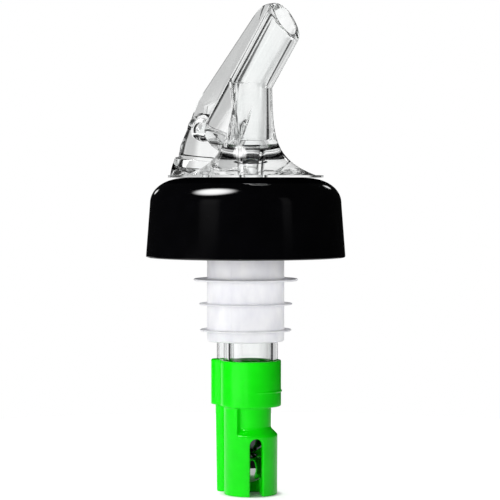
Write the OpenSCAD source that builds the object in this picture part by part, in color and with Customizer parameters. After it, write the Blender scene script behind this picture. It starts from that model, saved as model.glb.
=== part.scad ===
// Measured liquor pourer: a clear bent spout and a black collar on a finned cork, with a clear metering tube,
// a breather tube and a green ball cage below. Two steel balls run up the tube to shut the pour off, and a small
// third ball shuts the breather. Millimetres. The origin is on the cork's axis, in the plane where the collar
// rests on a bottle's lip. +Z points up, out of the bottle, and +X is the way it pours.

/* [Balls] */
// Diameter of each of the two balls in the metering tube
ball_d = 6.35; // [5:0.05:7.5]
// Diameter of the breather's check ball
check_ball_d = 1.59; // [1.4:0.01:2]
// Gap left under a ball at rest, and between the two that lie on each other
rest_gap = 0.05; // [0.01:0.01:0.1]

/* [Metering tube] */
// Radial room between a ball and the metering tube's bore
tube_room = 1.125; // [0.8:0.005:2]
// Wall of the metering tube
tube_wall = 1.4; // [0.8:0.1:2.5]
// Length of clear tube that shows between the cork and the ball cage
tube_show = 4; // [1:0.1:15]

/* [Breather tube] */
// Outer diameter of the breather tube
breather_d = 2.3; // [2:0.1:3.5]
// Wall of the breather tube
breather_wall = 0.5; // [0.4:0.05:0.6]
// Gap between the breather tube and the metering tube
tube_gap = 0.1; // [0.05:0.05:0.8]

/* [Cork] */
// Length of the cork from the collar's ceiling to its lower end
cork_h = 33; // [26:0.5:45]
// Wall of the cork's sleeve
cork_wall = 0.9; // [0.6:0.1:2]
// Radial room between the tubes and the inside of the sleeve
cork_room = 0.3; // [0.1:0.05:1.5]
// Thickness of the wall that closes the cork's lower end and grips the tubes
cork_end_t = 1.2; // [0.6:0.1:3]
// Clearance of the tubes in the holes that hold them
grip_clear = 0.03; // [0.01:0.01:0.2]
// How far the top fin stands out from the sleeve
top_fin_reach = 2.85; // [1:0.05:4]
// How far the middle fin stands out from the sleeve
middle_fin_reach = 1.7; // [1:0.05:4]
// How far the low fin stands out from the sleeve
low_fin_reach = 1.5; // [1:0.05:4]
// Thickness of the top fin
top_fin_t = 0.6; // [0.3:0.05:1.2]
// Thickness of the middle fin
middle_fin_t = 0.4; // [0.3:0.05:1.2]
// Thickness of the low fin
low_fin_t = 0.5; // [0.3:0.05:1.2]
// Height of the low fin above the cork's lower end
low_fin_up = 2.3; // [1:0.1:6]
// Spacing from the low fin to the middle fin
low_pitch = 5.5; // [3:0.1:9]
// Spacing from the middle fin to the top fin
top_pitch = 5.1; // [3:0.1:9]

/* [Collar] */
// Diameter of the collar's rim
rim_d = 41.9; // [41:0.1:50]
// Thickness of the collar's top
collar_top_t = 1.3; // [1:0.1:3]
// Wall of the collar's skirt
collar_wall = 1.4; // [0.8:0.1:3]
// Depth of the skirt below the bottle's lip
skirt_depth = 15.1; // [10:0.1:25]
// How much wider the skirt is at its rim than under the shoulder
skirt_flare = 0.85; // [0:0.05:2]
// Radial run of the rounded shoulder
shoulder_run = 8.1; // [5:0.1:9]
// Drop of the rounded shoulder
shoulder_drop = 5.6; // [3:0.1:9]
// Fullness of the shoulder: 2 is an ellipse, more is squarer
shoulder_power = 2.2; // [2:0.05:3]
// Height of the land that presses on the bottle's lip
land_h = 0.3; // [0.1:0.05:0.8]
// Width of the land
land_w = 2.8; // [1:0.1:4]
// Radial gap from the top fin's edge to the land
land_gap = 0.25; // [0.1:0.05:1]
// Clearance of the spout's boss in the collar
boss_clear = 0.05; // [0.02:0.01:0.3]

/* [Spout base] */
// Radius of the thin flange that lies on the collar
flange_r = 16.3; // [14:0.1:18]
// Thickness of the flange's edge
flange_t = 0.4; // [0.2:0.05:1.5]
// Height over which the flare above the flange falls away by a factor of e
flare_decay = 3.45; // [2:0.05:5]
// Wall of the boss around the two tubes' holes
boss_wall = 0.25; // [0.2:0.05:1]
// Length of the plug that goes down into the metering tube
plug_l = 9.3; // [5:0.1:14]
// Clearance of the plug in the metering tube
plug_clear = 0.04; // [0.01:0.01:0.2]
// Width of the flat rim round the ball seat's mouth
seat_rim = 0.5; // [0.3:0.05:0.9]
// Width of the seat's cone that is left above the line where the ball touches it
seat_land = 0.15; // [0.05:0.05:0.4]
// How far the breather tube goes up into the boss
breather_socket = 1; // [0.5:0.1:1.6]

/* [Spout tubes] */
// Bore of the upright part of the spout
riser_bore_d = 6.14; // [5:0.02:7]
// Wall of the upright part
riser_wall = 1.43; // [1:0.01:2.5]
// Height of the bend above the collar's top
riser_h = 19.7; // [18:0.1:26]
// Bore of the slanted part of the spout
nozzle_bore_d = 6.2; // [5:0.02:7]
// Wall of the slanted part
nozzle_wall = 1.3; // [1:0.01:2.5]
// Length of the slanted part along its axis, from the bend to the middle of the mouth
nozzle_l = 15.4; // [12:0.1:25]
// Lean of the slanted part from the vertical
nozzle_lean = 32.5; // [25:0.5:40]
// How far the mouth's plane faces up from straight ahead
mouth_lift = 30; // [20:1:45]
// How far the slanted part runs on below the bend, into the base
root_l = 12; // [9:0.1:14]

/* [Spout back] */
// Distance of the heel's foot behind the cork's axis
heel_foot_x = 10.7; // [9:0.1:12]
// Distance of the heel's dome behind the cork's axis
heel_top_x = 9.9; // [8.5:0.1:11]
// Radius of the heel at its foot
heel_foot_r = 5.3; // [4.5:0.1:6]
// Radius of the heel's dome
heel_top_r = 3.8; // [3.3:0.1:4.5]
// How far the dome stands out from the cones that run into it
dome_proud = 0.1; // [0.05:0.05:0.3]
// Height of the dome's centre above the collar's top
heel_h = 9.9; // [8:0.1:12]
// Wall round the heel's hollow
heel_wall = 1.6; // [1.2:0.1:2.2]
// Diameter of the air hole at the back of the heel
inlet_d = 1.6; // [1:0.1:2.2]
// How far the air hole points up from straight back
inlet_lift = 25; // [0:1:40]
// Radius of the gusset's rounded back edge
gusset_edge_r = 2; // [1.5:0.1:2.5]
// Thickness of the gusset's web
gusset_t = 3.4; // [2:0.1:3.8]
// How far the gusset's foot lies in front of the dome's centre
gusset_foot_in = 0.6; // [0:0.1:2]
// How far the gusset's foot lies above the dome's centre
gusset_foot_rise = 5.1; // [4:0.1:5.5]
// Distance of the gusset's head behind the mouth's middle, along the slanted part
gusset_head_back = 0.5; // [0:0.1:3]
// Distance of the gusset's head from the axis of the slanted part
gusset_head_out = 3.9; // [2.5:0.1:4.5]

/* [Ball cage] */
// Wall of the ring that the tubes are pressed into
ring_wall = 0.65; // [0.5:0.05:2]
// Height of the ring
ring_h = 9.6; // [8:0.1:14]
// How deep the tubes go into the ring
socket_depth = 4.5; // [2.5:0.1:6]
// Wall of the ring's lobe round the breather tube
lobe_wall = 1.2; // [0.6:0.05:2]
// Height of the crescent bead above the ring's lower edge
bead_rise = 2.6; // [1:0.1:5]
// Thickness of the bead
bead_h = 0.5; // [0.3:0.05:1]
// How far the bead stands out
bead_proud = 0.3; // [0.1:0.05:0.8]
// Half the angle that the bead spans
bead_span = 58; // [30:1:80]
// Height of the cage's body below the ring
body_h = 18.6; // [16:0.1:24]
// Wall of the body beside the windows
body_wall = 1.5; // [1:0.1:2.5]
// Radial room between a ball and the body
body_room = 1.025; // [0.8:0.005:1.5]
// How much the body's radius draws in towards its lower end
body_draft = 0.1; // [0:0.05:0.4]
// Radial room between a ball and the narrow neck
neck_room = 0.325; // [0.1:0.005:0.6]
// Wall of the neck behind the groove
neck_wall = 0.8; // [0.6:0.1:1.1]
// Height of the groove across the cage's front
groove_h = 4.6; // [2:0.1:6]
// Width of a window
window_w = 2.7; // [1.5:0.1:3.5]
// Angle of each window from the pouring direction
window_angle = 47.5; // [35:0.5:60]
// Distance of a window's arch below the groove's chamfer
window_drop = 1; // [0.5:0.1:3]
// How far the retaining lip reaches in under a ball
lip_hold = 0.575; // [0.3:0.005:1]
// Height of the retaining lip
lip_h = 3.7; // [2:0.1:5]
// Radius of the rear rib at its top
rib_r = 1.45; // [1.3:0.05:2.2]
// Radius of the rear rib at its lower end
rib_tip_r = 1.15; // [0.95:0.05:1.8]
// Width of the web that joins the rib to the body
rib_web_w = 1.6; // [1:0.1:2]
// Depth of the check ball's chamber below the breather tube
chamber_h = 4; // [3:0.1:5]
// Diameter of the air hole under the check ball
air_hole_d = 1; // [0.7:0.05:1.2]

/* [Hidden] */
$fn = 96;
// Steps of the flare's and the shoulder's curves
curve_steps = 12;
// Overrun of a cutting tool past the face that it cuts
over = 1;
// Size of a tool that cuts away all of the part on one side of a plane
half_space = 2 * rim_d;

ball_r = ball_d / 2;
check_r = check_ball_d / 2;
tube_bore_r = ball_r + tube_room;
tube_r = tube_bore_r + tube_wall;
breather_r = breather_d / 2;
breather_bore_r = breather_r - breather_wall;
// The two tubes lie side by side, with the pair centred on the cork's axis
tube_x = breather_r + tube_gap / 2;
breather_x = tube_x - tube_r - tube_gap - breather_r;
pair_r = tube_r + breather_r + tube_gap / 2;
tube_hole_r = tube_r + grip_clear;
breather_hole_r = breather_r + grip_clear;

// Heights of the stack, from the collar's top down to the cage
ceiling_z = land_h;
collar_top_z = ceiling_z + collar_top_t;
rim_z = -skirt_depth;
cork_low_z = ceiling_z - cork_h;
ring_top_z = cork_low_z - tube_show;
tube_low_z = ring_top_z - socket_depth;
ring_low_z = ring_top_z - ring_h;
cage_low_z = ring_low_z - body_h;

cork_bore_r = pair_r + cork_room;
cork_r = cork_bore_r + cork_wall;
low_fin_z = cork_low_z + low_fin_up;
middle_fin_z = low_fin_z + low_pitch;
top_fin_z = middle_fin_z + top_pitch;
top_fin_r = cork_r + top_fin_reach;

boss_r = pair_r + boss_wall;
land_in_r = top_fin_r + land_gap;
land_out_r = land_in_r + land_w;
rim_r = rim_d / 2;
skirt_r = rim_r - skirt_flare;
shoulder_z = collar_top_z - shoulder_drop;
shoulder_in_r = skirt_r - shoulder_run;

riser_bore_r = riser_bore_d / 2;
riser_r = riser_bore_r + riser_wall;
flare_foot_r = flange_r - tube_x;
knee_z = collar_top_z + riser_h;
nozzle_bore_r = nozzle_bore_d / 2;
nozzle_r = nozzle_bore_r + nozzle_wall;
mouth_x = tube_x + nozzle_l * sin(nozzle_lean);
mouth_z = knee_z + nozzle_l * cos(nozzle_lean);
heel_top_z = collar_top_z + heel_h;
heel_lean = atan2(heel_foot_x - heel_top_x, heel_h);
foot_x = gusset_foot_in - heel_top_x;
foot_z = heel_top_z + gusset_foot_rise;
head_s = nozzle_l - gusset_head_back;
head_x = tube_x + head_s * sin(nozzle_lean) - gusset_head_out * cos(nozzle_lean);
head_z = knee_z + head_s * cos(nozzle_lean) + gusset_head_out * sin(nozzle_lean);
edge_l = norm([head_x - foot_x, head_z - foot_z]);
edge_lean = atan2(head_x - foot_x, head_z - foot_z);
nape_l = norm([gusset_foot_in, gusset_foot_rise]);
nape_lean = atan2(gusset_foot_in, gusset_foot_rise);
hollow_foot_r = heel_foot_r - heel_wall;
hollow_top_r = heel_top_r - heel_wall;
duct_z = collar_top_z + breather_wall + 2 * breather_bore_r;

// The ball seat is a cone of 45 degrees, which a ball touches 45 degrees off its axis
plug_r = tube_bore_r - plug_clear;
plug_low_z = ceiling_z - plug_l;
seat_in_r = ball_r * cos(45) - seat_land;
seat_out_r = plug_r - seat_rim;
seat_top_z = plug_low_z + seat_out_r - seat_in_r;

ring_r = tube_hole_r + ring_wall;
lobe_r = breather_hole_r + lobe_wall;
bead_shift = (ring_r * bead_proud + bead_proud * bead_proud / 2)
    / (ring_r + bead_proud - ring_r * cos(bead_span));
bead_r = ring_r + bead_proud - bead_shift;
bead_z = ring_low_z + bead_rise;
neck_bore_r = ball_r + neck_room;
neck_r = neck_bore_r + neck_wall;
body_bore_r = ball_r + body_room;
body_r = body_bore_r + body_wall;
groove_low_z = ring_low_z - groove_h;
chamfer_low_z = groove_low_z - (body_r - neck_r);
window_top_z = chamfer_low_z - window_drop;
lip_r = ball_r - lip_hold;
lip_top_z = cage_low_z + lip_h;
chamber_low_z = tube_low_z - chamber_h;
air_hole_r = air_hole_d / 2;

// A ball rests on the rim of the hole under it
follower_z = lip_top_z + sqrt(ball_r * ball_r - lip_r * lip_r) + rest_gap;
cutoff_z = follower_z + ball_d + rest_gap;
check_z = chamber_low_z + sqrt(check_r * check_r - air_hole_r * air_hole_r) + rest_gap;

// Radius of the flare at a height above the collar's top, running out into the riser at the bend
function flare_r(z) = riser_r + (flare_foot_r - riser_r)
    * (exp(-z / flare_decay) - exp(-riser_h / flare_decay)) / (1 - exp(-riser_h / flare_decay));

// Points of the collar's shoulder, from its side up to its flat top
function shoulder(run, drop) = [for (i = [0 : curve_steps])
    [shoulder_in_r + run * pow(cos(90 * i / curve_steps), 2 / shoulder_power),
     shoulder_z + drop * pow(sin(90 * i / curve_steps), 2 / shoulder_power)]];

// A round bar from one height up to another, on an axis parallel to Z
module bar(x, low, high, r) {
    translate([x, 0, low]) cylinder(h = high - low, r = r);
}

// A tube on an axis parallel to Z
module tube(x, low, high, r, bore_r) {
    difference() {
        bar(x, low, high, r);
        bar(x, low - over, high + over, bore_r);
    }
}

// The holes that hold both tubes, joined by a slot where only a sliver of wall would stand between them
module tube_holes(low, high) {
    bar(tube_x, low, high, tube_hole_r);
    bar(breather_x, low, high, breather_hole_r);
    translate([breather_x, -breather_r / 2, low]) cube([tube_x - breather_x, breather_r, high - low]);
}

// Places its children at the bend, with Z along the slanted part's axis
module along_nozzle() {
    translate([tube_x, 0, knee_z]) rotate([0, nozzle_lean, 0]) children();
}

// The outline of the flare and the upright tube, turned round the tube's axis
module flare() {
    steps = [for (i = [0 : curve_steps]) riser_h * pow(i / curve_steps, 2)];
    translate([tube_x, 0, collar_top_z]) rotate_extrude()
        polygon(concat([[0, 0]], [for (z = steps) [flare_r(z), z]], [[0, riser_h]]));
}

// The slanted tube and the rounded root that it runs down to
module nozzle() {
    along_nozzle() {
        translate([0, 0, -root_l]) cylinder(h = root_l + nozzle_l + nozzle_r, r = nozzle_r);
        translate([0, 0, -root_l]) sphere(r = nozzle_r);
    }
}

// The hollow heel at the back: a leaning cone under a dome
module heel(foot_r, top_r) {
    translate([-heel_top_x, 0, heel_top_z]) {
        sphere(r = top_r);
        rotate([0, heel_lean, 0]) translate([0, 0, -heel_h - over])
            cylinder(h = heel_h + over, r1 = foot_r, r2 = top_r - dome_proud);
    }
}

// The web behind the slanted tube, which fills the corner down to the flange, and its rounded back edge, which
// widens down to the heel's dome
module gusset() {
    rotate([90, 0, 0]) linear_extrude(height = gusset_t, center = true)
        polygon([[foot_x, foot_z], [head_x, head_z], [mouth_x, mouth_z], [tube_x, knee_z],
            [tube_x, collar_top_z], [-heel_top_x, collar_top_z], [-heel_top_x, heel_top_z]]);
    translate([foot_x, 0, foot_z]) rotate([0, edge_lean, 0]) {
        cylinder(h = edge_l, r = gusset_edge_r);
        sphere(r = gusset_edge_r);
        translate([0, 0, edge_l]) sphere(r = gusset_edge_r);
    }
    translate([-heel_top_x, 0, heel_top_z]) rotate([0, nape_lean, 0])
        cylinder(h = nape_l, r1 = heel_top_r - dome_proud, r2 = gusset_edge_r - dome_proud);
}

// The pouring way through the spout, from the ball seat to the mouth
module pour_way() {
    translate([tube_x, 0, plug_low_z])
        cylinder(h = seat_top_z - plug_low_z, r1 = seat_out_r, r2 = seat_in_r);
    bar(tube_x, plug_low_z - over, ceiling_z + over, seat_in_r);
    bar(tube_x, ceiling_z, knee_z, riser_bore_r);
    along_nozzle() translate([0, 0, -over]) cylinder(h = nozzle_l + nozzle_r + over, r = nozzle_bore_r);
}

// The air way, from the hole at the back through the heel's hollow to the breather tube's socket
module air_way() {
    heel(hollow_foot_r, hollow_top_r);
    translate([-heel_top_x, 0, heel_top_z]) rotate([0, inlet_lift - 90, 0])
        cylinder(h = heel_foot_r + over, d = inlet_d);
    translate([breather_x, 0, duct_z]) rotate([0, -90, 0])
        cylinder(h = heel_foot_x + breather_x, r = breather_bore_r);
    bar(breather_x, ceiling_z, duct_z, breather_bore_r);
}

// Clear spout, one moulding: flange, flare, upright tube, slanted tube, gusset and heel
module spout() {
    color([0.9, 0.95, 0.95, 0.4]) difference() {
        union() {
            difference() {
                union() {
                    bar(0, collar_top_z, collar_top_z + flange_t, flange_r);
                    flare();
                    nozzle();
                    heel(heel_foot_r, heel_top_r);
                    gusset();
                }
                translate([mouth_x, 0, mouth_z]) rotate([0, 90 - mouth_lift, 0])
                    translate([-half_space / 2, -half_space / 2, 0]) cube(half_space);
                air_way();
                translate([-half_space / 2, -half_space / 2, collar_top_z - half_space]) cube(half_space);
            }
            difference() {
                union() {
                    bar(0, ceiling_z, collar_top_z, boss_r);
                    bar(tube_x, plug_low_z, collar_top_z, plug_r);
                }
                bar(breather_x, ceiling_z - over, collar_top_z + over, breather_bore_r);
                bar(breather_x, ceiling_z - over, ceiling_z + breather_socket, breather_hole_r);
            }
        }
        pour_way();
    }
}

// Black collar: an inverted cup with a full round shoulder, bored for the spout's boss
module collar() {
    color([0.03, 0.03, 0.035]) {
        difference() {
            rotate_extrude() polygon(concat([[0, rim_z], [rim_r, rim_z]],
                shoulder(shoulder_run, shoulder_drop), [[0, collar_top_z]]));
            rotate_extrude() polygon(concat([[0, rim_z - over], [rim_r - collar_wall, rim_z - over],
                [rim_r - collar_wall, rim_z]],
                shoulder(shoulder_run - collar_wall, shoulder_drop - collar_top_t), [[0, ceiling_z]]));
            bar(0, rim_z, collar_top_z + over, boss_r + boss_clear);
        }
        tube(0, 0, ceiling_z + collar_top_t / 2, land_out_r, land_in_r);
    }
}

// Frosted cork: a thin sleeve with three sealing fins and a lower end that grips both tubes
module cork() {
    color([0.93, 0.95, 0.98, 0.8]) difference() {
        union() {
            bar(0, cork_low_z, ceiling_z, cork_r);
            bar(0, top_fin_z - top_fin_t / 2, top_fin_z + top_fin_t / 2, top_fin_r);
            bar(0, middle_fin_z - middle_fin_t / 2, middle_fin_z + middle_fin_t / 2, cork_r + middle_fin_reach);
            bar(0, low_fin_z - low_fin_t / 2, low_fin_z + low_fin_t / 2, cork_r + low_fin_reach);
        }
        bar(0, cork_low_z + cork_end_t, ceiling_z + over, cork_bore_r);
        tube_holes(cork_low_z - over, ceiling_z);
    }
}

// Clear metering tube, from the spout's boss down to the cage's ledge
module metering_tube() {
    color([0.9, 0.95, 0.98, 0.4]) tube(tube_x, tube_low_z, ceiling_z, tube_r, tube_bore_r);
}

// Clear breather tube beside it
module breather_tube() {
    color([0.9, 0.95, 0.98, 0.4])
        tube(breather_x, tube_low_z, ceiling_z + breather_socket, breather_r, breather_bore_r);
}

// The groove across the front of the cage, under the ring, with its chamfered lower edge
module groove() {
    intersection() {
        translate([tube_x, 0, 0]) rotate_extrude() polygon([[neck_r, ring_low_z], [ring_r + over, ring_low_z],
            [ring_r + over, chamfer_low_z - ring_r - over + body_r], [neck_r, groove_low_z]]);
        translate([tube_x, -half_space / 2, ring_low_z - body_h]) cube([half_space, half_space, body_h]);
    }
}

// A window in the cage's wall, arched at the top and open at the bottom
module window(angle) {
    translate([tube_x, 0, 0]) rotate([0, 0, angle]) {
        translate([0, -window_w / 2, cage_low_z - over])
            cube([body_r + over, window_w, window_top_z - window_w / 2 - cage_low_z + over]);
        translate([0, 0, window_top_z - window_w / 2]) rotate([0, 90, 0])
            cylinder(h = body_r + over, d = window_w);
    }
}

// The way for the balls through the cage: neck, wider body and retaining lip
module ball_way() {
    step = body_bore_r - neck_bore_r;
    bar(tube_x, chamfer_low_z - step, tube_low_z + over, neck_bore_r);
    translate([tube_x, 0, chamfer_low_z - step]) cylinder(h = step, r1 = body_bore_r, r2 = neck_bore_r);
    bar(tube_x, lip_top_z, chamfer_low_z - step, body_bore_r);
    bar(tube_x, cage_low_z - over, lip_top_z + over, lip_r);
}

// Green ball cage: a ring for the tubes' ends, a grooved neck and a body with two windows
module ball_cage() {
    color([0.1, 0.85, 0.12]) difference() {
        union() {
            bar(tube_x, ring_low_z, ring_top_z, ring_r);
            bar(breather_x, ring_low_z, ring_top_z, lobe_r);
            bar(tube_x + bead_shift, bead_z - bead_h / 2, bead_z + bead_h / 2, bead_r);
            difference() {
                translate([tube_x, 0, cage_low_z]) cylinder(h = body_h + over, r1 = body_r - body_draft, r2 = body_r);
                groove();
                for (side = [-1, 1]) window(side * window_angle);
            }
            translate([breather_x, 0, cage_low_z]) cylinder(h = body_h + over, r1 = rib_tip_r, r2 = rib_r);
            translate([breather_x, -rib_web_w / 2, cage_low_z])
                cube([tube_x - breather_x - neck_bore_r, rib_web_w, body_h]);
        }
        tube_holes(tube_low_z, ring_top_z + over);
        bar(breather_x, chamber_low_z, tube_low_z + over, breather_hole_r);
        bar(breather_x, cage_low_z - over, chamber_low_z + over, air_hole_r);
        ball_way();
    }
}

// Steel ball that shuts the seat at the end of a measure
module cutoff_ball() {
    color([0.8, 0.8, 0.82]) translate([tube_x, 0, cutoff_z]) sphere(r = ball_r);
}

// Steel ball that follows it, resting on the cage's lip
module follower_ball() {
    color([0.8, 0.8, 0.82]) translate([tube_x, 0, follower_z]) sphere(r = ball_r);
}

// Small steel ball that shuts the breather while the bottle stands
module breather_ball() {
    color([0.8, 0.8, 0.82]) translate([breather_x, 0, check_z]) sphere(r = check_r);
}

spout();
collar();
cork();
metering_tube();
breather_tube();
ball_cage();
cutoff_ball();
follower_ball();
breather_ball();
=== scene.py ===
"""The looks of a measured liquor pourer, made piece by piece in the order in which it goes together."""

import math

import bpy
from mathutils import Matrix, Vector


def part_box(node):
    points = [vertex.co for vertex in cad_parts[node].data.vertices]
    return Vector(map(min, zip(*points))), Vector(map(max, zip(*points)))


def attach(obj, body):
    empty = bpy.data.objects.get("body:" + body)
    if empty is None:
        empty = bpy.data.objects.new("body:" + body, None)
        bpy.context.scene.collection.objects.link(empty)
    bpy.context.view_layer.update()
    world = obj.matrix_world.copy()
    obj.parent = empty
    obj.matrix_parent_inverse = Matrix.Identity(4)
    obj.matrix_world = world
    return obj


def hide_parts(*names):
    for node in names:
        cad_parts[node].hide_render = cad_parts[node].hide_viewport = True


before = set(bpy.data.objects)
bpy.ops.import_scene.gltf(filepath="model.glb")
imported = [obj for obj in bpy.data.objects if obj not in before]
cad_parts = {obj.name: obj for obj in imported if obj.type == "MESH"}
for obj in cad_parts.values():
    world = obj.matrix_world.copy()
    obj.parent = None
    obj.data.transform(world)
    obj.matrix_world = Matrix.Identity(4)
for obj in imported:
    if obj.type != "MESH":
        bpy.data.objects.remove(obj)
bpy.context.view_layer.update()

# Metering tube
# A tube of clear drawn plastic, cut to length, whose bore sets how much one pour gives. Its upper end is
# pushed over the spout's plug and its lower end into the ball cage. The saw has lightly broken its edges.
MM = 0.001
tube_low, tube_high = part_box("metering_tube")
tube_x = (tube_low.x + tube_high.x) / 2
tube_r = (tube_high.y - tube_low.y) / 2
tube_bore_r = tube_r - 1.4 * MM
tube_edge = 0.12 * MM
tube_turns = 192
# Both tubes' walls are dead straight up to this far from the ends
tube_true = 0.5 * MM
# Points closer together than this become one
weld = 0.001 * MM
# Noise keeps mostly between these two values
noise_low = 0.3
noise_high = 0.7


def rounded(corners, steps=6):
    """Points of an outline whose corners are (radius, height) or (radius, height, rounding)."""
    points = []
    for i, corner in enumerate(corners):
        here = Vector(corner[:2])
        if len(corner) == 2:
            points.append(here)
            continue
        back = (Vector(corners[i - 1][:2]) - here).normalized()
        on = (Vector(corners[(i + 1) % len(corners)][:2]) - here).normalized()
        half = back.angle(on) / 2
        centre = here + (back + on).normalized() * corner[2] / math.sin(half)
        start = here + back * corner[2] / math.tan(half) - centre
        sweep = math.copysign(math.pi - 2 * half, back.x * on.y - back.y * on.x)
        for k in range(steps + 1):
            angle = -sweep * k / steps
            points.append(centre + Vector((start.x * math.cos(angle) - start.y * math.sin(angle),
                                           start.x * math.sin(angle) + start.y * math.cos(angle))))
    return points


def drawn(name, points, y=0.0):
    """A new piece, left in edit mode, that holds one closed line of (x, z) points."""
    bpy.ops.object.select_all(action="DESELECT")
    bpy.ops.mesh.primitive_plane_add(size=MM)
    piece = bpy.context.object
    piece.name = piece.data.name = name
    bpy.ops.object.mode_set(mode="EDIT")
    bpy.ops.mesh.merge(type="CENTER")
    bpy.ops.transform.translate(value=(points[0].x, y, points[0].y))
    for here, there in zip(points, points[1:] + points[:1]):
        step = there - here
        bpy.ops.mesh.extrude_region_move(TRANSFORM_OT_translate={"value": (step.x, 0, step.y)})
    bpy.ops.mesh.select_all(action="SELECT")
    bpy.ops.mesh.remove_doubles(threshold=weld)
    return piece


def turned(name, corners, x=0.0, turns=128):
    """A solid turned round an upright axis at x, from the corners of its half section."""
    piece = drawn(name, [Vector((x + p.x, p.y)) for p in rounded(corners)])
    bpy.ops.mesh.spin(steps=turns, angle=2 * math.pi, center=(x, 0, 0), axis=(0, 0, 1))
    bpy.ops.mesh.select_all(action="SELECT")
    bpy.ops.mesh.remove_doubles(threshold=weld)
    bpy.ops.mesh.delete_loose()
    bpy.ops.mesh.select_all(action="SELECT")
    bpy.ops.mesh.normals_make_consistent(inside=False)
    bpy.ops.object.mode_set(mode="OBJECT")
    return piece


def add_node(tree, kind, inputs=(), **settings):
    """A new node. Each input is a value, or the output of another node."""
    node = tree.nodes.new(kind)
    for name, value in settings.items():
        setattr(node, name, value)
    for name, value in dict(inputs).items():
        if isinstance(value, bpy.types.NodeSocket):
            tree.links.new(value, node.inputs[name])
        else:
            node.inputs[name].default_value = value
    return node


def noise(tree, size, detail=3.0, stretch=(1, 1, 1)):
    """Noise on the piece's own coordinates, with features of about that size."""
    place = add_node(tree, "ShaderNodeTexCoord")
    scaled = add_node(tree, "ShaderNodeMapping", {"Vector": place.outputs["Object"], "Scale": stretch})
    grain = add_node(tree, "ShaderNodeTexNoise", {"Vector": scaled.outputs["Vector"], "Scale": 1 / size,
                                                  "Detail": detail})
    return grain.outputs["Fac"]


def shades(tree, factor, low_colour, high_colour, low=noise_low, high=noise_high):
    """A colour that drifts between two shades while a factor goes from low to high."""
    node = add_node(tree, "ShaderNodeValToRGB", {"Fac": factor})
    first, last = node.color_ramp.elements
    first.position = low
    first.color = (*low_colour, 1)
    last.position = high
    last.color = (*high_colour, 1)
    return node.outputs["Color"]


def spread(tree, factor, low, high):
    """Noise spread from a low to a high value."""
    node = add_node(tree, "ShaderNodeMapRange", {"Value": factor, "From Min": noise_low,
                                                 "From Max": noise_high, "To Min": low, "To Max": high})
    return node.outputs["Result"]


def bump(tree, height, depth):
    """A normal that tilts as if the surface rose and fell by that depth."""
    node = add_node(tree, "ShaderNodeBump", {"Height": height, "Strength": 1.0, "Distance": depth})
    return node.outputs["Normal"]


def finish(name, **constants):
    """A new material and its tree. The shader's constant sockets are set by name."""
    material = bpy.data.materials.new(name)
    material.use_nodes = True
    shader = material.node_tree.nodes["Principled BSDF"]
    for socket, value in constants.items():
        shader.inputs[socket.replace("_", " ")].default_value = value
    return material, material.node_tree


def drive(tree, **sockets):
    """Links outputs to the shader's sockets by name."""
    shader = tree.nodes["Principled BSDF"]
    for socket, output in sockets.items():
        tree.links.new(output, shader.inputs[socket.replace("_", " ")])


def clear_plastic(name, flow_size, flow_depth):
    """Clear plastic with a faint cool tint, a near-perfect polish and slow flow ripples."""
    material, tree = finish(name, Transmission_Weight=1.0, IOR=1.53)
    tint = shades(tree, noise(tree, size=6 * MM), (0.955, 0.972, 0.968), (0.99, 0.995, 0.993))
    polish = spread(tree, noise(tree, size=1.5 * MM, detail=5.0), low=0.0, high=0.02)
    flow = bump(tree, noise(tree, size=flow_size, detail=1.0), flow_depth)
    drive(tree, Base_Color=tint, Roughness=polish, Normal=flow)
    return material


def dress(piece, material, node, body="pourer", crease_deg=40):
    """Gives a finished piece its material, smooth shading and body, and hides the part of the model that it
    stands for.
    """
    bpy.ops.object.select_all(action="DESELECT")
    piece.select_set(True)
    bpy.context.view_layer.objects.active = piece
    bpy.ops.object.shade_smooth_by_angle(angle=math.radians(crease_deg))
    piece.data.materials.clear()
    piece.data.materials.append(material)
    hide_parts(node)
    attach(piece, body)


def cut_tube(name, x, low_z, high_z, r, bore_r, edge, turns):
    """A length of drawn tube: straight walls, and cut edges that are lightly broken."""
    corners = [(bore_r, low_z, edge), (r, low_z, edge), (r, low_z + tube_true), (r, high_z - tube_true),
               (r, high_z, edge), (bore_r, high_z, edge), (bore_r, high_z - tube_true),
               (bore_r, low_z + tube_true)]
    return turned(name, corners, x, turns)


drawn_plastic = clear_plastic("drawn_clear_plastic", flow_size=5 * MM, flow_depth=0.002 * MM)
metering = cut_tube("metering_tube_clear", tube_x, tube_low.z, tube_high.z, tube_r, tube_bore_r,
                    tube_edge, tube_turns)
dress(metering, drawn_plastic, "metering_tube")

# Breather tube
# A thin straw of clear plastic beside the metering tube, which lets air into the bottle. It is cut from
# drawn tube like its neighbour, and its ends are pushed into the spout's boss and the ball cage.
straw_low, straw_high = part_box("breather_tube")
straw_x = (straw_low.x + straw_high.x) / 2
straw_r = (straw_high.y - straw_low.y) / 2
straw_bore_r = straw_r - 0.5 * MM
straw_edge = 0.06 * MM
straw_turns = 96
straw = cut_tube("breather_tube_clear", straw_x, straw_low.z, straw_high.z, straw_r, straw_bore_r,
                 straw_edge, straw_turns)
dress(straw, drawn_plastic, "breather_tube")

# Balls
# Polished balls of bearing steel: two run loose in the metering tube, and a small one closes the breather.
# The upper of the two is painted dark, as painted shade that keeps the top of the windows dark. Each is
# lapped all over, with no pole or seam, only hair-fine scuffs from rolling.
ball_cuts = 24
small_ball_cuts = 12


def bearing_steel(name, low_shade, high_shade):
    """Lapped steel with fine scuffs, whose colour drifts between two shades."""
    material, tree = finish(name, Metallic=1.0)
    scuff = noise(tree, size=0.25 * MM, detail=6.0, stretch=(1, 1, 6))
    shade = shades(tree, noise(tree, size=2 * MM), low_shade, high_shade)
    polish = spread(tree, scuff, low=0.03, high=0.14)
    drive(tree, Base_Color=shade, Roughness=polish, Normal=bump(tree, scuff, depth=0.0008 * MM))
    return material


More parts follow.
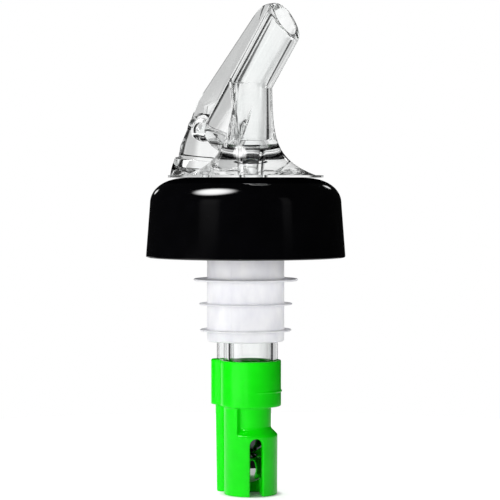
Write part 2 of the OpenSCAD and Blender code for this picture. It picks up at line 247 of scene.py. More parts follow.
def ball(name, node, cuts, steel):
    """A ball blown up from a cut cube, so that its faces are even all over."""
    low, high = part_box(node)
    bpy.ops.object.select_all(action="DESELECT")
    bpy.ops.mesh.primitive_cube_add(size=high.z - low.z)
    piece = bpy.context.object
    piece.name = piece.data.name = name
    bpy.ops.object.mode_set(mode="EDIT")
    bpy.ops.mesh.subdivide(number_cuts=cuts)
    bpy.ops.transform.tosphere(value=1.0)
    bpy.ops.object.mode_set(mode="OBJECT")
    radius = piece.data.vertices[0].co.length
    bpy.ops.object.mode_set(mode="EDIT")
    bpy.ops.mesh.select_all(action="SELECT")
    bpy.ops.transform.resize(value=[(high.z - low.z) / 2 / radius] * 3, center_override=(0, 0, 0))
    bpy.ops.transform.translate(value=(low + high) / 2)
    bpy.ops.object.mode_set(mode="OBJECT")
    dress(piece, steel, node, body=node)


# The upper ball's dark steel is painted shade: it keeps the top of the cage's windows dark.
shade_dark_steel = bearing_steel("bearing_steel_darkened_as_shade", (0.07, 0.07, 0.08), (0.10, 0.10, 0.11))
bright = bearing_steel("lapped_bearing_steel", (0.60, 0.60, 0.62), (0.72, 0.72, 0.73))
ball("cutoff_ball_steel", "cutoff_ball", ball_cuts, shade_dark_steel)
ball("follower_ball_steel", "follower_ball", ball_cuts, bright)
ball("breather_ball_steel", "breather_ball", small_ball_cuts, bright)

# Ball cage
# One bright green plastic moulding at the foot of the tubes. A ring with a lobe grips both tubes, a groove
# crosses the front under it, and two arched windows open at the bottom let the drink in round the balls.
cage_low, cage_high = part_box("ball_cage")
ring_low_z = cage_high.z - 9.6 * MM
ring_r = tube_r + 0.68 * MM
lobe_r = straw_r + 1.23 * MM
socket_low_z = tube_low.z
# The bead is turned about an axis set forward, so it stands out in front and dies into the ring's sides
bead_z = ring_low_z + 3.2 * MM
bead_t = 0.5 * MM
bead_edge = 0.48 * bead_t
bead_h = cage_high.x - tube_x - ring_r
bead_x = 2.5 * bead_h
bead_r = ring_r + bead_h - bead_x
body_r = 5.7 * MM
body_draft = 0.1 * MM
body_bore_r = 4.2 * MM
neck_r = 4.3 * MM
neck_bore_r = 3.5 * MM
groove_low_z = ring_low_z - 4.6 * MM
chamfer_low_z = groove_low_z - (body_r - neck_r)
window_w = 2.7 * MM
window_top_z = chamfer_low_z - 0.5 * MM
window_angle = math.radians(47.5)
lip_r = 2.6 * MM
lip_top_z = cage_low.z + 3.7 * MM
rib_top_r = 1.45 * MM
rib_tip_r = 1.15 * MM
rib_web_w = 1.6 * MM
chamber_low_z = tube_low.z - 4.0 * MM
air_hole_r = 0.5 * MM
air_way_turns = 48
cage_voxel = 0.17 * MM
cage_passes = 4
# The room left round a held tube, and the least step between two faces that would fall together
hold = 0.03 * MM
# How far a form runs past the place where it is cut off, or a cutter past what it cuts
past = 1.0 * MM
fine_turns = 240


def combine(piece, other, operation):
    """Joins another solid to a piece, cuts it out or keeps what both share, and removes that other one."""
    change = piece.modifiers.new(operation.lower(), "BOOLEAN")
    change.operation = operation
    change.solver = "MANIFOLD"
    change.object = other
    bpy.context.view_layer.objects.active = piece
    bpy.ops.object.modifier_apply(modifier=change.name)
    bpy.data.objects.remove(other)


def bar(x, low, high, low_r, high_r=None):
    """A round bar or cone on an upright axis."""
    return turned("bar", [(0, low), (low_r, low), (high_r or low_r, high), (0, high)], x, fine_turns)


def block(low, high):
    """A square block between two corners."""
    bpy.ops.object.select_all(action="DESELECT")
    bpy.ops.mesh.primitive_cube_add(size=1.0)
    piece = bpy.context.object
    bpy.ops.object.mode_set(mode="EDIT")
    bpy.ops.transform.resize(value=Vector(high) - Vector(low), center_override=(0, 0, 0))
    bpy.ops.transform.translate(value=(Vector(low) + Vector(high)) / 2)
    bpy.ops.object.mode_set(mode="OBJECT")
    return piece


def turn(piece, angle, axis, centre):
    """Turns a piece by a right-handed angle about an axis through a point."""
    bpy.ops.object.select_all(action="DESELECT")
    piece.select_set(True)
    bpy.context.view_layer.objects.active = piece
    bpy.ops.object.mode_set(mode="EDIT")
    bpy.ops.mesh.select_all(action="SELECT")
    bpy.ops.transform.rotate(value=-angle, orient_axis=axis, center_override=centre)
    bpy.ops.object.mode_set(mode="OBJECT")
    return piece


def moulded(piece, voxel, passes):
    """Runs a joined solid into one skin with the small round edges that a mould gives."""
    skin = piece.modifiers.new("skin", "REMESH")
    skin.mode = "VOXEL"
    skin.voxel_size = voxel
    ease = piece.modifiers.new("ease", "SMOOTH")
    ease.factor = 0.5
    ease.iterations = passes
    bpy.context.view_layer.objects.active = piece
    bpy.ops.object.modifier_apply(modifier=skin.name)
    bpy.ops.object.modifier_apply(modifier=ease.name)


def tube_holes(piece, low, high):
    """Cuts the holes that grip both tubes, and the slot between them."""
    combine(piece, bar(tube_x, low, high, tube_r + hold), "DIFFERENCE")
    combine(piece, bar(straw_x, low, high, straw_r + hold), "DIFFERENCE")
    slot = block((straw_x, -straw_r / 2, low + hold), (tube_x, straw_r / 2, high + hold))
    combine(piece, slot, "DIFFERENCE")


cage = bar(tube_x, cage_low.z, ring_low_z + past, body_r - body_draft, body_r)
cage.name = cage.data.name = "ball_cage_green"
groove_r = ring_r + past
groove = turned("groove", [(neck_r, ring_low_z + hold), (groove_r, ring_low_z + hold),
                           (groove_r, groove_low_z - (groove_r - neck_r)), (neck_r, groove_low_z)], tube_x)
front = block((tube_x, -2 * ring_r, cage_low.z), (tube_x + 2 * ring_r, 2 * ring_r, cage_high.z))
combine(groove, front, "INTERSECT")
combine(cage, groove, "DIFFERENCE")
arch_z = window_top_z - window_w / 2
for side in (-1, 1):
    window = block((tube_x, -window_w / 2, cage_low.z - past), (tube_x + 2 * body_r, window_w / 2, arch_z))
    arch = bar(tube_x, arch_z, arch_z + 2 * body_r, window_w / 2)
    combine(window, turn(arch, math.pi / 2, "Y", (tube_x, 0, arch_z)), "UNION")
    combine(cage, turn(window, side * window_angle, "Z", (tube_x, 0, 0)), "DIFFERENCE")
combine(cage, bar(tube_x, ring_low_z, cage_high.z, ring_r), "UNION")
combine(cage, bar(straw_x, ring_low_z + hold, cage_high.z - hold, lobe_r), "UNION")
combine(cage, bar(straw_x, cage_low.z + hold, ring_low_z + past, rib_tip_r, rib_top_r), "UNION")
rib_web = block((straw_x, -rib_web_w / 2, cage_low.z + 2 * hold),
                (tube_x - neck_r, rib_web_w / 2, ring_low_z + 2 * past))
combine(cage, rib_web, "UNION")
tube_holes(cage, socket_low_z, cage_high.z + past)
step_z = chamfer_low_z - (body_bore_r - neck_bore_r)
ball_way = turned("ball_way", [(0, cage_low.z - past), (lip_r, cage_low.z - past), (lip_r, lip_top_z),
                               (body_bore_r, lip_top_z), (body_bore_r, step_z), (neck_bore_r, chamfer_low_z),
                               (neck_bore_r, socket_low_z + past), (0, socket_low_z + past)], tube_x)
combine(cage, ball_way, "DIFFERENCE")
air_way = turned("air_way", [(0, cage_low.z - past), (air_hole_r, cage_low.z - past),
                             (air_hole_r, chamber_low_z), (straw_r, chamber_low_z),
                             (straw_r, socket_low_z + past), (0, socket_low_z + past)],
                 straw_x, air_way_turns)
combine(cage, air_way, "DIFFERENCE")
moulded(cage, cage_voxel, cage_passes)
bead = turned("bead", [(bead_r - bead_t, bead_z - bead_t / 2), (bead_r, bead_z - bead_t / 2, bead_edge),
                       (bead_r, bead_z + bead_t / 2, bead_edge), (bead_r - bead_t, bead_z + bead_t / 2)],
              tube_x + bead_x)
combine(cage, bead, "UNION")

green, tree = finish("bright_green_plastic", Specular_IOR_Level=0.33, Subsurface_Weight=0.08,
                     Subsurface_Radius=(0.2, 1.0, 0.2), Subsurface_Scale=0.6 * MM)
mottle = shades(tree, noise(tree, size=4 * MM), (0.003, 0.83, 0.002), (0.006, 0.90, 0.004))
skin_grain = noise(tree, size=0.9 * MM)
drive(tree, Base_Color=mottle, Roughness=spread(tree, skin_grain, low=0.18, high=0.26),
      Normal=bump(tree, skin_grain, depth=0.003 * MM))
dress(cage, green, "ball_cage", crease_deg=50)

# Cork
# A stopper moulded in soft frosted plastic, which is pressed into the bottle's neck: a thin sleeve over
# both tubes with three sealing fins that thin out towards their edges. Its lower end grips the tubes.
cork_low, cork_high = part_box("cork")
sleeve_r = 8.1 * MM
sleeve_bore_r = 7.2 * MM
cork_end_t = 1.2 * MM
cork_foot_round = 0.35 * MM
cork_top_round = 0.2 * MM
cork_floor_round = 0.4 * MM
# Height, radius and thickness of each fin at its edge, from the lowest up
fins = [(-30.4 * MM, 9.6 * MM, 0.3 * MM),
        (-24.9 * MM, 9.8 * MM, 0.25 * MM),
        (-19.8 * MM, cork_high.x, 0.4 * MM)]
# A fin's half thickness at its root and the rounding of its edge, as shares of its thickness at the edge
fin_root_share = 0.75
fin_edge_share = 0.4
fin_root_round = 0.2 * MM
# The mould's parting line, a hair-fine ridge down both sides
seam_w = 0.22 * MM
seam_h = 0.06 * MM
seam_root = 0.3 * MM
seam_angle = math.radians(-82)

sleeve = [(0, cork_low.z), (sleeve_r, cork_low.z, cork_foot_round)]
for fin_z, fin_r, fin_t in fins:
    root_half = fin_root_share * fin_t
    edge_round = fin_edge_share * fin_t
    sleeve += [(sleeve_r, fin_z - root_half, fin_root_round), (fin_r, fin_z - fin_t / 2, edge_round),
               (fin_r, fin_z + fin_t / 2, edge_round), (sleeve_r, fin_z + root_half, fin_root_round)]
sleeve += [(sleeve_r, cork_high.z, cork_top_round), (sleeve_bore_r, cork_high.z, cork_top_round),
           (sleeve_bore_r, cork_low.z + cork_end_t, cork_floor_round), (0, cork_low.z + cork_end_t)]
cork = turned("cork_frosted", sleeve)
tube_holes(cork, cork_low.z - past, cork_low.z + cork_end_t + past)
for side in (0, math.pi):
    seam = block((sleeve_r - seam_root, -seam_w / 2, cork_low.z + past),
                 (sleeve_r + seam_h, seam_w / 2, cork_high.z - past))
    combine(cork, turn(seam, seam_angle + side, "Z", (0, 0, 0)), "UNION")

frosted, tree = finish("frosted_soft_plastic", Transmission_Weight=0.15, IOR=1.45, Specular_IOR_Level=0.5,
                       Subsurface_Weight=0.3, Subsurface_Radius=(1.0, 1.0, 1.1), Subsurface_Scale=1.0 * MM)
cloud = noise(tree, size=2.5 * MM, detail=5.0, stretch=(1, 1, 0.45))
frost = noise(tree, size=0.3 * MM, detail=4.0)
drive(tree, Base_Color=shades(tree, cloud, (0.82, 0.82, 0.87), (0.96, 0.96, 0.985)),
      Roughness=spread(tree, cloud, low=0.42, high=0.55), Normal=bump(tree, frost, depth=0.006 * MM))
dress(cork, frosted, "cork")

# Collar
# A deep cup of gloss black plastic that covers the bottle's lip and finish. It is one moulding with a full
# round shoulder, bored for the spout's boss, with a raised land inside that presses on the lip.
collar_low, collar_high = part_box("collar")
rim_r = collar_high.x
skirt_r = rim_r - 0.85 * MM
skirt_round = 0.3 * MM
collar_wall = 1.4 * MM
collar_top_t = 1.3 * MM
shoulder_run = 8.1 * MM
shoulder_drop = 5.6 * MM
shoulder_power = 2.2
shoulder_steps = 20
boss_hole_r = 7.2 * MM
boss_hole_round = 0.15 * MM
boss_hole_top_round = 0.2 * MM
land_in_r = 11.2 * MM
land_out_r = 14.0 * MM
land_h = 0.3 * MM
land_round = 0.1 * MM
seat_edge_r = 17.3 * MM
collar_turns = 160
shoulder_in_r = skirt_r - shoulder_run
shoulder_z = collar_high.z - shoulder_drop
ceiling_z = collar_high.z - collar_top_t
land_z = ceiling_z - land_h


def shoulder(run, drop):
    """Points of the full round shoulder, from the skirt up to the flat top."""
    angles = [math.pi / 2 * i / shoulder_steps for i in range(shoulder_steps + 1)]
    return [(shoulder_in_r + run * math.cos(a) ** (2 / shoulder_power),
             shoulder_z + drop * math.sin(a) ** (2 / shoulder_power)) for a in angles]


def black_plastic(name, shine, rough_low, rough_high, grain):
    """Black plastic. Its grain is the size, the detail and the depth of the small waves in its skin."""
    material, tree = finish(name, Specular_IOR_Level=shine)
    near_black = shades(tree, noise(tree, size=5 * MM), (0.0007, 0.0007, 0.0010), (0.0013, 0.0013, 0.0018))
    polish = spread(tree, noise(tree, size=0.12 * MM, detail=6.0), rough_low, rough_high)
    size, detail, depth = grain
    drive(tree, Base_Color=near_black, Roughness=polish, Normal=bump(tree, noise(tree, size, detail), depth))
    return material


hollow = shoulder(shoulder_run - collar_wall, shoulder_drop - collar_top_t)
hollow = [point for point in hollow if point[0] > land_out_r]
collar = turned("collar_black", [(boss_hole_r, ceiling_z, boss_hole_round), (land_in_r, ceiling_z),
                                 (land_in_r, land_z, land_round), (land_out_r, land_z, land_round),
                                 (land_out_r, hollow[-1][1]), *reversed(hollow),
                                 (rim_r - collar_wall, collar_low.z, skirt_round),
                                 (rim_r, collar_low.z, skirt_round), *shoulder(shoulder_run, shoulder_drop),
                                 (boss_hole_r, collar_high.z, boss_hole_top_round)], turns=collar_turns)
gloss = black_plastic("gloss_black_plastic", 0.8, 0.05, 0.10, grain=(1.8 * MM, 2.0, 0.0015 * MM))
dress(collar, gloss, "collar")
# The seat of the spout's flange is left matt by the mould, a little way past the flange's edge
matt = black_plastic("matt_black_plastic", 0.0, 0.5, 0.7, grain=(0.2 * MM, 4.0, 0.002 * MM))
collar.data.materials.append(matt)
for face in collar.data.polygons:
    if face.normal.z > 0 and face.center.xy.length < seat_edge_r:
        face.material_index = 1

# Spout
# One crystal clear plastic moulding, held by its boss in the collar: a thin flange flares up into an upright
# tube, which bends into the slanted pouring tube. A gusset backs the tube and runs down to a heel with the
# air hole.
spout_low, spout_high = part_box("spout")
base_z = collar_high.z
flange_r = spout_high.x
flange_t = 0.5 * MM
riser_r = 4.5 * MM
riser_bore_r = 3.4 * MM
knee_z = base_z + 19.7 * MM
flare_decay = 3.45 * MM
flare_steps = 60
flare_turns = 320
nozzle_r = 4.4 * MM
nozzle_bore_r = 3.0 * MM
nozzle_l = 15.4 * MM
nozzle_lean = math.radians(32.5)
mouth_lift = math.radians(30)
root_l = 12.0 * MM
heel_foot = Vector((-10.9 * MM, base_z))
heel_top = Vector((-9.9 * MM, base_z + 9.9 * MM))
heel_top_r = 3.85 * MM
heel_waist_r = 4.95 * MM
heel_waist_share = 0.66
heel_foot_r = 5.6 * MM
foot_top_r = 5.85 * MM
foot_low_r = 7.0 * MM
foot_h = 3.9 * MM
foot_round = 0.4 * MM
# How deep under the collar's top these forms start, before the spout is cut off flat there
flare_sink = 2 * past
heel_sink = 3 * past
foot_sink = 2.5 * past
web_sink = 0.5 * past
air_bulb_r = 2.1 * MM
air_bulb_drop = 0.5 * MM
air_pass_r = 1.4 * MM
air_pass_z = base_z + 8.9 * MM
inlet_r = 1.05 * MM
inlet_lift = math.radians(25)
gusset_edge_r = 2.0 * MM
gusset_edge_out = 0.4 * MM
gusset_edge_t = 1.3 * MM
gusset_root_t = 5.6 * MM
web_t = 3.4 * MM
gusset_foot = Vector((-9.3 * MM, heel_top.y + 5.1 * MM))
# The nape is the hollow line from the heel up to the gusset, given from the heel's top
nape_low = Vector((-3.5 * MM, 1.6 * MM))
nape_high = Vector((-2.3 * MM, 4.4 * MM))
gusset_head_back = 0.5 * MM
gusset_head_out = 3.9 * MM
boss_r = 7.15 * MM
boss_gap = 0.5 * MM
boss_neck_r = 2.5 * MM
plug_r = tube_bore_r - 0.04 * MM
seat_in_r = 2.095 * MM
seat_out_r = 3.76 * MM
chamber_r = 4.0 * MM
chamber_floor_z = base_z + 5.6 * MM
chamber_wall_z = base_z + 6.5 * MM
chamber_roof_z = base_z + 7.4 * MM
brow_r = 2.5 * MM
brow_tail_r = 0.4 * brow_r
brow_l = 7.0 * MM
# The brow over the mouth is rounded off to a ball that is a little wider than it is high
brow_round = 5.6 * MM
brow_h = 3.5 * MM
brow_lift = math.radians(100)
brow_span = math.radians(90)
brow_wide = 1.1
brow_steps = 64
brow_turns = 160
rim_round = 0.35 * MM
rim_segments = 4
# The share of a full rounding, or of a full match of two directions, that counts as whole
almost = 0.98

knee = Vector((tube_x, knee_z))
along = Vector((math.sin(nozzle_lean), math.cos(nozzle_lean)))
behind = Vector((-along.y, along.x))
mouth = knee + along * nozzle_l
root = knee - along * root_l
gusset_head = knee + along * (nozzle_l - gusset_head_back) + behind * gusset_head_out
edge_way = (gusset_head - gusset_foot).normalized()
edge_out = Vector((-edge_way.y, edge_way.x)) * (gusset_edge_r + gusset_edge_out)


def leaning(start, end, *corners):
    """A solid turned round the line between two (x, z) points, from (radius, way along it) corners."""
    reach = end - start
    placed = [(corner[0], start.y + corner[1], *corner[2:]) for corner in corners]
    solid = turned("leaning", placed, start.x, fine_turns)
    return turn(solid, math.atan2(reach.x, reach.y), "Y", (start.x, 0, start.y))


def rod(start, end, r):
    """A round bar between two (x, z) points, with a round end at each."""
    long = (end - start).length
    return leaning(start, end, (0, -r), (r, -r, almost * r), (r, long + r, almost * r), (0, long + r))


def flare_r(z):
    """The radius of the flare about the tube's axis at a height over the collar."""
    tail = math.exp((base_z - knee_z) / flare_decay)
    return riser_r + (flange_r - tube_x - riser_r) * (math.exp(-z / flare_decay) - tail) / (1 - tail)


def plate(points, thickness):
    """A flat plate in the plane of symmetry, from the (x, z) points of its outline."""
    piece = drawn("plate", points, -thickness / 2)
    bpy.ops.mesh.edge_face_add()
    bpy.ops.mesh.extrude_region_move(TRANSFORM_OT_translate={"value": (0, thickness, 0)})
    bpy.ops.mesh.select_all(action="SELECT")
    bpy.ops.mesh.normals_make_consistent(inside=False)
    bpy.ops.object.mode_set(mode="OBJECT")
    return piece


def wedge(thin_points, thick_points):
    """A plate that is as thin as the gusset's edge at some points and as thick as its root at others."""
    piece = plate(thin_points + thick_points, gusset_edge_t)
    bpy.ops.object.mode_set(mode="EDIT")
    bpy.ops.mesh.select_all(action="DESELECT")
    bpy.ops.object.mode_set(mode="OBJECT")
    for corner in piece.data.vertices:
        here = Vector((corner.co.x, corner.co.z))
        corner.select = any((here - point).length < past for point in thick_points)
    bpy.ops.object.mode_set(mode="EDIT")
    bpy.ops.transform.resize(value=(1, gusset_root_t / gusset_edge_t, 1), center_override=(0, 0, 0))
    bpy.ops.object.mode_set(mode="OBJECT")
    return piece


def beyond(point, reach, lift):
    """A block of all that lies further than a reach from an (x, z) point, at a lift angle from level."""
    low_z = point.y + reach
    far = block((point.x - rim_r, -rim_r, low_z), (point.x + rim_r, rim_r, low_z + rim_r))
    return turn(far, math.pi / 2 - lift, "Y", (point.x, 0, point.y))


# Flare, flange and nozzle
heights = [(knee_z - base_z) * (i / flare_steps) ** 2 for i in range(flare_steps + 1)]
spout = turned("spout_clear", [(0, base_z - flare_sink), (flare_r(0), base_z - flare_sink),
                               *[(flare_r(z), base_z + z) for z in heights], (0, knee_z)],
               tube_x, flare_turns)
combine(spout, bar(0, base_z - past, base_z + flange_t, flange_r), "UNION")
combine(spout, rod(root, mouth + along * nozzle_r, nozzle_r), "UNION")

# Heel and its foot
heel_l = (heel_top - heel_foot).length
heel = leaning(heel_foot, heel_top, (0, -heel_sink), (heel_foot_r, -heel_sink), (heel_foot_r, 0),
               (heel_waist_r, heel_waist_share * heel_l), (heel_top_r, heel_l),
               (heel_top_r, heel_l + heel_top_r, almost * heel_top_r), (0, heel_l + heel_top_r))
combine(spout, heel, "UNION")
foot = leaning(heel_foot, heel_top, (0, -foot_sink), (foot_low_r, -foot_sink), (foot_low_r, 0),
               (foot_top_r, foot_h, foot_round), (0, foot_h))
combine(foot, bar(0, base_z - 4 * past, base_z + 2 * foot_h, flange_r - hold), "INTERSECT")
combine(spout, foot, "UNION")

# Gusset, brow and web
combine(spout, wedge([gusset_foot + edge_out, gusset_head + edge_out], [mouth, root]), "UNION")
nape = wedge([heel_top + nape_low, heel_top + nape_high, gusset_foot + edge_out],
             [root + along * past, heel_top])
combine(spout, nape, "UNION")
brow_top = mouth + behind * (gusset_head_out + gusset_edge_r - brow_r)
brow_cone = leaning(brow_top - along * brow_l, brow_top, (0, 0), (brow_tail_r, 0), (brow_r, brow_l),
                    (brow_r, brow_l + nozzle_r), (0, brow_l + nozzle_r))
combine(spout, brow_cone, "UNION")
web_low_z = base_z - web_sink
web = plate([gusset_foot, knee, Vector((tube_x, web_low_z)), Vector((heel_top.x, web_low_z)), heel_top],
            web_t)
combine(spout, web, "UNION")

# Cut of the mouth, and the rounding of the brow over it
combine(spout, beyond(mouth, 0.0, mouth_lift), "DIFFERENCE")
brow = gusset_head + edge_out - edge_out.normalized() * brow_round
brow += edge_way * (mouth.y + brow_h - brow_round - brow.y) / edge_way.y
brow_angles = [math.pi * i / brow_steps for i in range(brow_steps + 1)]
brow_ball = turned("brow_ball", [(brow_round * math.sin(a), brow.y - brow_round * math.cos(a))
                                 for a in brow_angles], brow.x, brow_turns)
turn(brow_ball, math.pi / 2, "X", (brow.x, 0, brow.y))
bpy.ops.object.mode_set(mode="EDIT")
bpy.ops.transform.resize(value=(1, brow_wide, 1), center_override=(brow.x, 0, brow.y))
bpy.ops.object.mode_set(mode="OBJECT")
brow_cap = beyond(brow, brow_round * math.cos(brow_span / 2), brow_lift)
combine(brow_cap, brow_ball, "DIFFERENCE")
combine(spout, brow_cap, "DIFFERENCE")

# Air way through the heel
air_end = Vector((straw_x, air_pass_z))
combine(spout, rod(heel_top, heel_top + Vector((0, -air_bulb_drop)), air_bulb_r), "DIFFERENCE")
combine(spout, rod(heel_top, air_end, air_pass_r), "DIFFERENCE")
inlet_end = heel_top + Vector((-math.cos(inlet_lift), math.sin(inlet_lift))) * (heel_foot_r + past)
combine(spout, rod(heel_top, inlet_end, inlet_r), "DIFFERENCE")

# Flat underside, with the boss and the plug that go down through the collar
underneath = block((-2 * rim_r, -2 * rim_r, base_z - 2 * rim_r), (2 * rim_r, 2 * rim_r, base_z + hold))
combine(spout, underneath, "DIFFERENCE")
combine(spout, bar(0, ceiling_z, base_z - boss_gap, boss_r), "UNION")
combine(spout, bar(tube_x, spout_low.z, base_z - boss_gap - hold, plug_r), "UNION")
combine(spout, bar(tube_x, ceiling_z + hold, base_z + 3 * hold, boss_neck_r), "UNION")
combine(spout, bar(straw_x, ceiling_z - past, air_end.y, straw_bore_r), "DIFFERENCE")
combine(spout, bar(straw_x, ceiling_z - 2 * past, straw_high.z, straw_r + hold), "DIFFERENCE")

# Way of the drink, from the ball's seat up to the mouth
seat_top_z = spout_low.z + seat_out_r - seat_in_r
pour_way = turned("pour_way", [(0, spout_low.z - past), (seat_out_r, spout_low.z - past),
                               (seat_out_r, spout_low.z), (seat_in_r, seat_top_z),
                               (seat_in_r, chamber_floor_z), (chamber_r, chamber_floor_z),
                               (chamber_r, chamber_wall_z), (riser_bore_r, chamber_roof_z),
                               (riser_bore_r, knee_z), (0, knee_z)], tube_x, fine_turns)
combine(spout, pour_way, "DIFFERENCE")
bore_l = nozzle_l + 2 * nozzle_r
nozzle_way = leaning(knee - along * past, mouth, (0, 0), (nozzle_bore_r, 0), (nozzle_bore_r, bore_l),
                     (0, bore_l))
combine(spout, nozzle_way, "DIFFERENCE")

# Rounding of the mouth's rim, inside and out
facing = Vector((math.cos(mouth_lift), 0, math.sin(mouth_lift)))
mouth_centre = Vector((mouth.x, 0, mouth.y))
bpy.ops.object.select_all(action="DESELECT")
spout.select_set(True)
bpy.context.view_layer.objects.active = spout
bpy.ops.object.mode_set(mode="EDIT")
bpy.ops.mesh.select_all(action="SELECT")
bpy.ops.mesh.bisect(plane_co=mouth_centre - facing * 2 * rim_round, plane_no=facing)
bpy.ops.mesh.select_mode(type="FACE")
bpy.ops.mesh.select_all(action="DESELECT")
bpy.ops.object.mode_set(mode="OBJECT")
for face in spout.data.polygons:
    off_plane = (face.center - mouth_centre).dot(facing)
    face.select = face.normal.dot(facing) > almost and abs(off_plane) < hold
bpy.ops.object.mode_set(mode="EDIT")
bpy.ops.mesh.region_to_loop()
bpy.ops.mesh.bevel(offset=rim_round, segments=rim_segments)
bpy.ops.mesh.select_mode(type="VERT")
bpy.ops.object.mode_set(mode="OBJECT")

crystal = clear_plastic("moulded_clear_plastic", flow_size=7 * MM, flow_depth=0.003 * MM)
dress(spout, crystal, "spout", crease_deg=30)

# Studio
# A pale floor under the cage and a white room, whose flags and patches draw the edges and gleams of the
# clear and black pieces. Soft boxes stand on the left, in front and behind, one on the right lights the
# cork alone, and the camera is about level with the collar's top.
camera_side = math.radians(30)
camera_away = 430 * MM
camera_z = 0.5 * MM
aim_right = 0.9 * MM
aim_z = -13.6 * MM
view_w = 105 * MM
sensor = 36.0

to_camera = Vector((math.sin(camera_side), -math.cos(camera_side), 0))
to_right = Vector((math.cos(camera_side), math.sin(camera_side), 0))
lens = bpy.data.cameras.new("camera")
lens.sensor_width = sensor
lens.lens = sensor * camera_away / view_w
lens.clip_start = 10 * MM
camera = bpy.data.objects.new("camera", lens)
bpy.context.collection.objects.link(camera)
camera.location = to_camera * camera_away + to_right * aim_right + Vector((0, 0, camera_z))
aim = to_right * aim_right + Vector((0, 0, aim_z))
camera.rotation_euler = (aim - camera.location).to_track_quat("-Z", "Y").to_euler()
bpy.context.scene.camera = camera

# The floor shows white where it is seen, dimmer in gloss, and is left in shadow right under the cage
floor_r = 150 * MM
floor_sides = 96
floor_glow = 0.68
gloss_share = 0.4
shade_in_r = 5.0 * MM
shade_out_r = 7.0 * MM


def math_node(tree, operation, *values):
    """One sum on numbers or outputs."""
    return add_node(tree, "ShaderNodeMath", dict(enumerate(values)), operation=operation).outputs[0]


bpy.ops.object.select_all(action="DESELECT")
bpy.ops.mesh.primitive_circle_add(vertices=floor_sides, radius=floor_r, fill_type="NGON", location=(0, 0, 0))
floor = bpy.context.object
floor.name = "floor"
bpy.ops.object.mode_set(mode="EDIT")
bpy.ops.transform.translate(value=(0, 0, cage_low.z))
bpy.ops.object.mode_set(mode="OBJECT")
pale, tree = finish("pale_floor", Roughness=0.9, Specular_IOR_Level=0.0, Emission_Color=(1, 1, 1, 1))
paint = shades(tree, noise(tree, size=50 * MM), (0.80, 0.80, 0.80), (0.82, 0.82, 0.82), low=0.0, high=1.0)
path = add_node(tree, "ShaderNodeLightPath")
dimmed = math_node(tree, "MULTIPLY", path.outputs["Is Glossy Ray"], gloss_share)
direct = math_node(tree, "MAXIMUM", path.outputs["Is Camera Ray"], dimmed)
seen = math_node(tree, "MAXIMUM", direct, path.outputs["Is Transmission Ray"])
place = add_node(tree, "ShaderNodeTexCoord")
from_cage = add_node(tree, "ShaderNodeVectorMath", {0: place.outputs["Object"], 1: (tube_x, 0, cage_low.z)},
                     operation="DISTANCE")
clear = add_node(tree, "ShaderNodeMapRange", {"Value": from_cage.outputs["Value"], "From Min": shade_in_r,
                                              "From Max": shade_out_r, "To Max": floor_glow})
drive(tree, Base_Color=paint, Emission_Strength=math_node(tree, "MULTIPLY", seen, clear.outputs["Result"]))
floor.data.materials.append(pale)

world = bpy.data.worlds.new("white_room")
bpy.context.scene.world = world
world.use_nodes = True
room = world.node_tree
way = add_node(room, "ShaderNodeTexCoord")
parts = add_node(room, "ShaderNodeSeparateXYZ", {"Vector": way.outputs["Generated"]})
rise = parts.outputs["Z"]
ahead = math_node(room, "MULTIPLY", parts.outputs["Y"], -1.0)
bearing = math_node(room, "ARCTAN2", parts.outputs["X"], ahead)


def toward(bearing_deg, rise_deg):
    """The direction from the part to a place in the room, by its bearing and height in degrees."""
    side = math.radians(bearing_deg)
    up = math.radians(rise_deg)
    return Vector((math.sin(side) * math.cos(up), -math.cos(side) * math.cos(up), math.sin(up)))


def fade(value, low, high):
    """0 below low and 1 above high, with a soft step between."""
    node = add_node(room, "ShaderNodeMapRange", {"Value": value, "From Min": low, "From Max": high},
                    interpolation_type="SMOOTHSTEP")
    return node.outputs["Result"]


def within(cosine, half, soft):
    """1 where an angle, given by its cosine, is within a half width in degrees, with a soft edge."""
    return fade(cosine, math.cos(math.radians(half + soft)), math.cos(math.radians(half - soft)))


def flag(middle, half, soft):
    """1 inside an upright band of the room, given by its bearing and half width in degrees."""
    off = math_node(room, "SUBTRACT", bearing, math.radians(middle))
    return within(math_node(room, "COSINE", off), half, soft)


def belt(low, high, soft):
    """1 between two heights of the room, given in degrees above the horizon."""
    sines = [math.sin(math.radians(angle)) for angle in (low - soft, low + soft, high - soft, high + soft)]
    below = math_node(room, "SUBTRACT", 1.0, fade(rise, *sines[2:]))
    return math_node(room, "MULTIPLY", fade(rise, *sines[:2]), below)


def pane(upright, level_band):
    """1 where a flag and a belt cross."""
    return math_node(room, "MULTIPLY", upright, level_band)


def spot(middle, height, half, soft):
    """1 inside a round patch of the room, given by its bearing, height and half width in degrees."""
    near = add_node(room, "ShaderNodeVectorMath", {0: way.outputs["Generated"], 1: toward(middle, height)},
                    operation="DOT_PRODUCT")
    return within(near.outputs["Value"], half, soft)


def lay_over(under, strength, mask):
    """The strength where the mask is 1, and what lies under it elsewhere."""
    kept = math_node(room, "MULTIPLY", under, math_node(room, "SUBTRACT", 1.0, mask))
    return math_node(room, "ADD", kept, math_node(room, "MULTIPLY", mask, strength))


# Through clear pieces shows a white room, with flags in facing pairs and a bright pane in a dim ceiling
through = 1.0
for strength, middle, half, soft in [(0.62, 4, 13, 8), (0.04, 152, 15, 5), (0.02, 90, 14, 5)]:
    for across in (0, 180):
        through = lay_over(through, strength, flag(middle + across, half, soft))
through = lay_over(through, 0.2, belt(46, 100, 4))
through = lay_over(through, 1.2, pane(flag(-25, 27, 6), belt(45, 75, 5)))

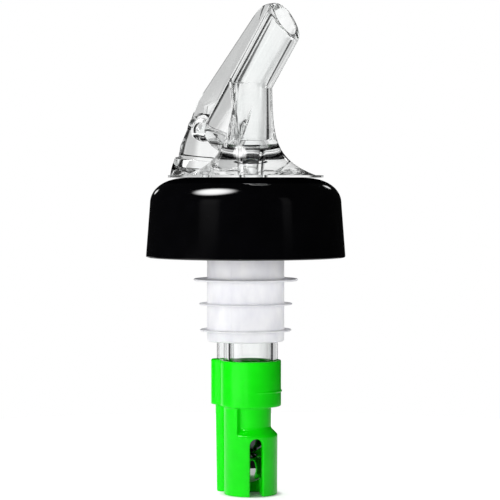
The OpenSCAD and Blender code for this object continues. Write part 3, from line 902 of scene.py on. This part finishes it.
# In gloss shows a dark room, with a lamp high on the left, two dim strips, two sparks and two low gleams
mirrored = lay_over(0.006, 14.5, spot(-34, 60, 12, 10))
mirrored = lay_over(mirrored, 0.13, pane(flag(-14, 8, 8), belt(3, 24, 6)))
mirrored = lay_over(mirrored, 0.075, pane(flag(80, 4, 4), belt(3, 30, 6)))
mirrored = lay_over(mirrored, 2.5, pane(flag(-28, 16, 8), belt(-9, -4, 1)))
mirrored = lay_over(mirrored, 3.0, spot(233, 13, 2.5, 1.5))
mirrored = lay_over(mirrored, 3.0, spot(188, 22, 2.5, 1.5))
mirrored = lay_over(mirrored, 1.0, pane(flag(235, 25, 5), belt(-14, -4.5, 0.8)))

# Other surfaces are lit by a grey room that is darker on the right, and the camera itself sees white
path = add_node(room, "ShaderNodeLightPath")
level = lay_over(0.45, 0.25, flag(120, 50, 35))
level = lay_over(level, 1.0, path.outputs["Is Camera Ray"])
level = lay_over(level, mirrored, path.outputs["Is Glossy Ray"])
level = lay_over(level, through, path.outputs["Is Transmission Ray"])
background = room.nodes["Background"]
background.inputs["Color"].default_value = (1, 1, 1, 1)
room.links.new(level, background.inputs["Strength"])

box_size = 0.4


def soft_box(name, bearing_deg, rise_deg, away, power):
    """A square soft box that faces the object and lights it without showing in it."""
    lamp = bpy.data.lights.new(name, "AREA")
    lamp.size = box_size
    lamp.energy = power
    box = bpy.data.objects.new(name, lamp)
    bpy.context.collection.objects.link(box)
    out = toward(bearing_deg, rise_deg)
    box.location = out * away
    box.rotation_euler = (-out).to_track_quat("-Z", "Y").to_euler()
    box.visible_camera = False
    box.visible_glossy = False
    box.visible_transmission = False
    return box


soft_box("key_box", bearing_deg=-35, rise_deg=15, away=0.6, power=1.0)
soft_box("fill_box", bearing_deg=6, rise_deg=-6, away=0.7, power=3.9)
soft_box("back_box", bearing_deg=245, rise_deg=12, away=0.6, power=1.6)
cork_box = soft_box("cork_box", bearing_deg=114, rise_deg=0, away=0.6, power=2.5)
lit_cork = bpy.data.collections.new("lit_cork")
lit_cork.objects.link(cork)
cork_box.light_linking.receiver_collection = lit_cork

# Light that runs along inside the clear walls is followed until it comes out
bounces = 32
cycles = bpy.context.scene.cycles
cycles.max_bounces = bounces
cycles.glossy_bounces = bounces
cycles.transmission_bounces = bounces
bpy.context.scene.view_settings.view_transform = "Standard"
